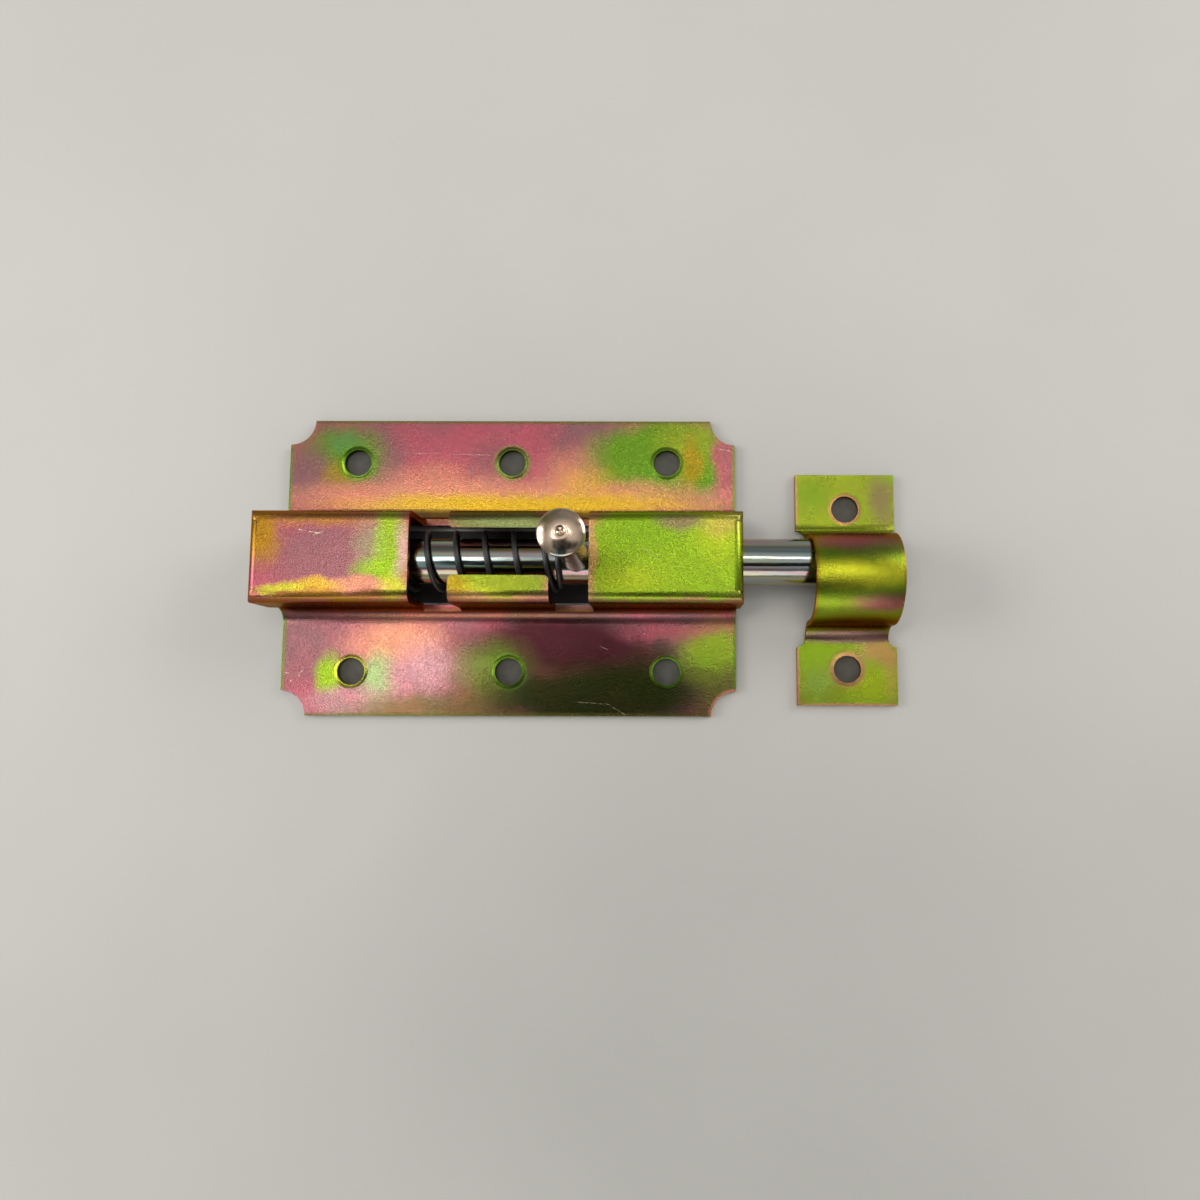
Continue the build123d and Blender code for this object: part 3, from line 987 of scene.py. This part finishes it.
class BOLT_OT_set_stage(bpy.types.Operator):
    """Sets the pale tabletop, black cards, dark cards of painted shadow, soft lamps, sky and camera"""

    bl_idname = "bolt.set_stage"
    bl_label = "Set stage"

    def execute(self, context):
        stage = context.scene.bolt_stage
        self.tabletop(context, stage.floor)
        self.flag()
        self.painted_shadow_cards()
        for name, place, width, depth, power in LAMPS:
            self.light(context, name, place, width, depth, getattr(stage, power))
        self.sky(context)
        self.camera(context, stage)
        context.scene.view_settings.view_transform = "Standard"
        return {"FINISHED"}

    @staticmethod
    def tabletop(context, colour):
        """A pale tabletop just under the part, faintly clouded and dusty."""
        mesh = bpy.data.meshes.new("tabletop")
        half = TABLE_HALF
        mesh.from_pydata(
            [(-half, -half, 0), (half, -half, 0), (half, half, 0), (-half, half, 0)], [], [(0, 1, 2, 3)]
        )
        floor = bpy.data.objects.new("tabletop", mesh)
        floor.location.z = -TABLE_DROP
        context.scene.collection.objects.link(floor)
        material, tree, shader = new_material("Pale tabletop")
        place = tree.nodes.new("ShaderNodeTexCoord").outputs["Object"]
        cloud = noise_node(tree, place, TABLE_CLOUD_SCALE, detail=3.0, roughness=0.6)
        dust = noise_node(tree, place, TABLE_DUST_SCALE)
        dark, light = ([min(1.0, channel * share) for channel in colour] for share in TABLE_SHADES)
        shade = mix_node(tree, range_node(tree, cloud.outputs["Fac"], *TABLE_CLOUD_RANGE), dark, light)
        tree.links.new(shade, shader.inputs["Base Color"])
        shader.inputs["Roughness"].default_value = TABLE_ROUGHNESS
        add_bump(tree, dust.outputs["Fac"], TABLE_DUST_HEIGHT, shader)
        mesh.materials.append(material)

    @staticmethod
    def flag():
        """Black cards over the near side, out of the camera's sight, for the bright metal to reflect."""
        card = stage_cards("black_card", BLACK_CARDS, BLACK_CARD_HEIGHT, BLACK_CARD_SHADE)
        card.visible_camera = False

    @staticmethod
    def painted_shadow_cards():
        """Dark cards on the tabletop, seen only through the screw holes and the channel's windows: painted
        shadow in place of the shade there.
        """
        cards = []
        for mount_name in ("plate_corners", "plate_middle", "keeper_holes"):
            for hole in screw_holes(mount_name):
                x, y, radius = (value / MM_PER_M for value in hole)
                half = radius + HOLE_CARD_MARGIN
                cards.append((x - half, x + half, y - half, y + half))
        stage_cards("hole_cards", cards, LOW_CARD_HEIGHT, HOLE_PAINTED_SHADOW)
        stage_cards("channel_card", [CHANNEL_CARD], LOW_CARD_HEIGHT, CHANNEL_PAINTED_SHADOW)

    @staticmethod
    def light(context, name, place, width, depth, power):
        """A soft rectangular lamp that faces the bolt."""
        data = bpy.data.lights.new(name, "AREA")
        data.shape = "RECTANGLE"
        data.size, data.size_y, data.energy = width, depth, power
        lamp = bpy.data.objects.new(name, data)
        lamp.location = place
        sight = Vector(LAMP_AIM) - Vector(place)
        lamp.rotation_euler = sight.to_track_quat("-Z", "Y").to_euler()
        context.scene.collection.objects.link(lamp)

    @staticmethod
    def sky(context):
        """A plain room: light overhead, dimmer half way down and pale again at the horizon."""
        world = bpy.data.worlds.new("Room")
        context.scene.world = world
        world.use_nodes = True
        tree = world.node_tree
        tree.nodes.clear()
        direction = tree.nodes.new("ShaderNodeTexCoord").outputs["Generated"]
        split = tree.nodes.new("ShaderNodeSeparateXYZ")
        tree.links.new(direction, split.inputs[0])
        ramp = tree.nodes.new("ShaderNodeValToRGB")
        ramp.color_ramp.interpolation = "EASE"
        elements = ramp.color_ramp.elements
        while len(elements) < len(SKY_STOPS):
            elements.new(0.5)
        for element, (position, level) in zip(elements, SKY_STOPS):
            element.position = position
            element.color = (level, level, level * SKY_BLUE, 1.0)
        tree.links.new(split.outputs["Z"], ramp.inputs["Fac"])
        background = tree.nodes.new("ShaderNodeBackground")
        tree.links.new(ramp.outputs["Color"], background.inputs["Color"])
        output = tree.nodes.new("ShaderNodeOutputWorld")
        tree.links.new(background.outputs["Background"], output.inputs["Surface"])

    @staticmethod
    def camera(context, stage):
        """The photo's viewpoint: close above, a little to the keeper's side and towards the viewer."""
        data = bpy.data.cameras.new("viewpoint")
        data.lens = stage.lens
        data.sensor_width = SENSOR_WIDTH_MM
        data.clip_start = CAMERA_NEAR
        data.shift_x, data.shift_y = CAMERA_SHIFT
        camera = bpy.data.objects.new("viewpoint", data)
        camera.location = CAMERA_PLACE
        camera.rotation_euler = CAMERA_TURN
        context.scene.collection.objects.link(camera)
        context.scene.camera = camera


OPERATORS = (
    BOLT_OT_dress_case,
    BOLT_OT_dress_keeper,
    BOLT_OT_dress_bolt,
    BOLT_OT_make_spring,
    BOLT_OT_set_stage,
)


class BOLT_PT_panel(bpy.types.Panel):
    """Lists the steps that dress the bolt"""

    bl_label = "Slide Bolt"
    bl_idname = "BOLT_PT_panel"
    bl_space_type = "VIEW_3D"
    bl_region_type = "UI"
    bl_category = "Slide Bolt"

    def draw(self, context):
        for operator in OPERATORS:
            self.layout.operator(operator.bl_idname)


SETTINGS = {
    "bolt_passivate": BoltPassivateSettings,
    "bolt_plating": BoltPlatingSettings,
    "bolt_spring": BoltSpringSettings,
    "bolt_stage": BoltStageSettings,
}
CLASSES = (*SETTINGS.values(), *OPERATORS, BOLT_PT_panel)


def register():
    """Adds the settings, operators and panel to Blender."""
    for cls in CLASSES:
        bpy.utils.register_class(cls)
    for name, group in SETTINGS.items():
        setattr(bpy.types.Scene, name, PointerProperty(type=group))


def unregister():
    """Takes them out again."""
    for name in SETTINGS:
        delattr(bpy.types.Scene, name)
    for cls in reversed(CLASSES):
        bpy.utils.unregister_class(cls)


def main():
    register()
    bpy.ops.bolt.dress_case()
    bpy.ops.bolt.dress_keeper()
    bpy.ops.bolt.dress_bolt()
    bpy.ops.bolt.make_spring()
    bpy.ops.bolt.set_stage()


if __name__ == "__main__":
    main()
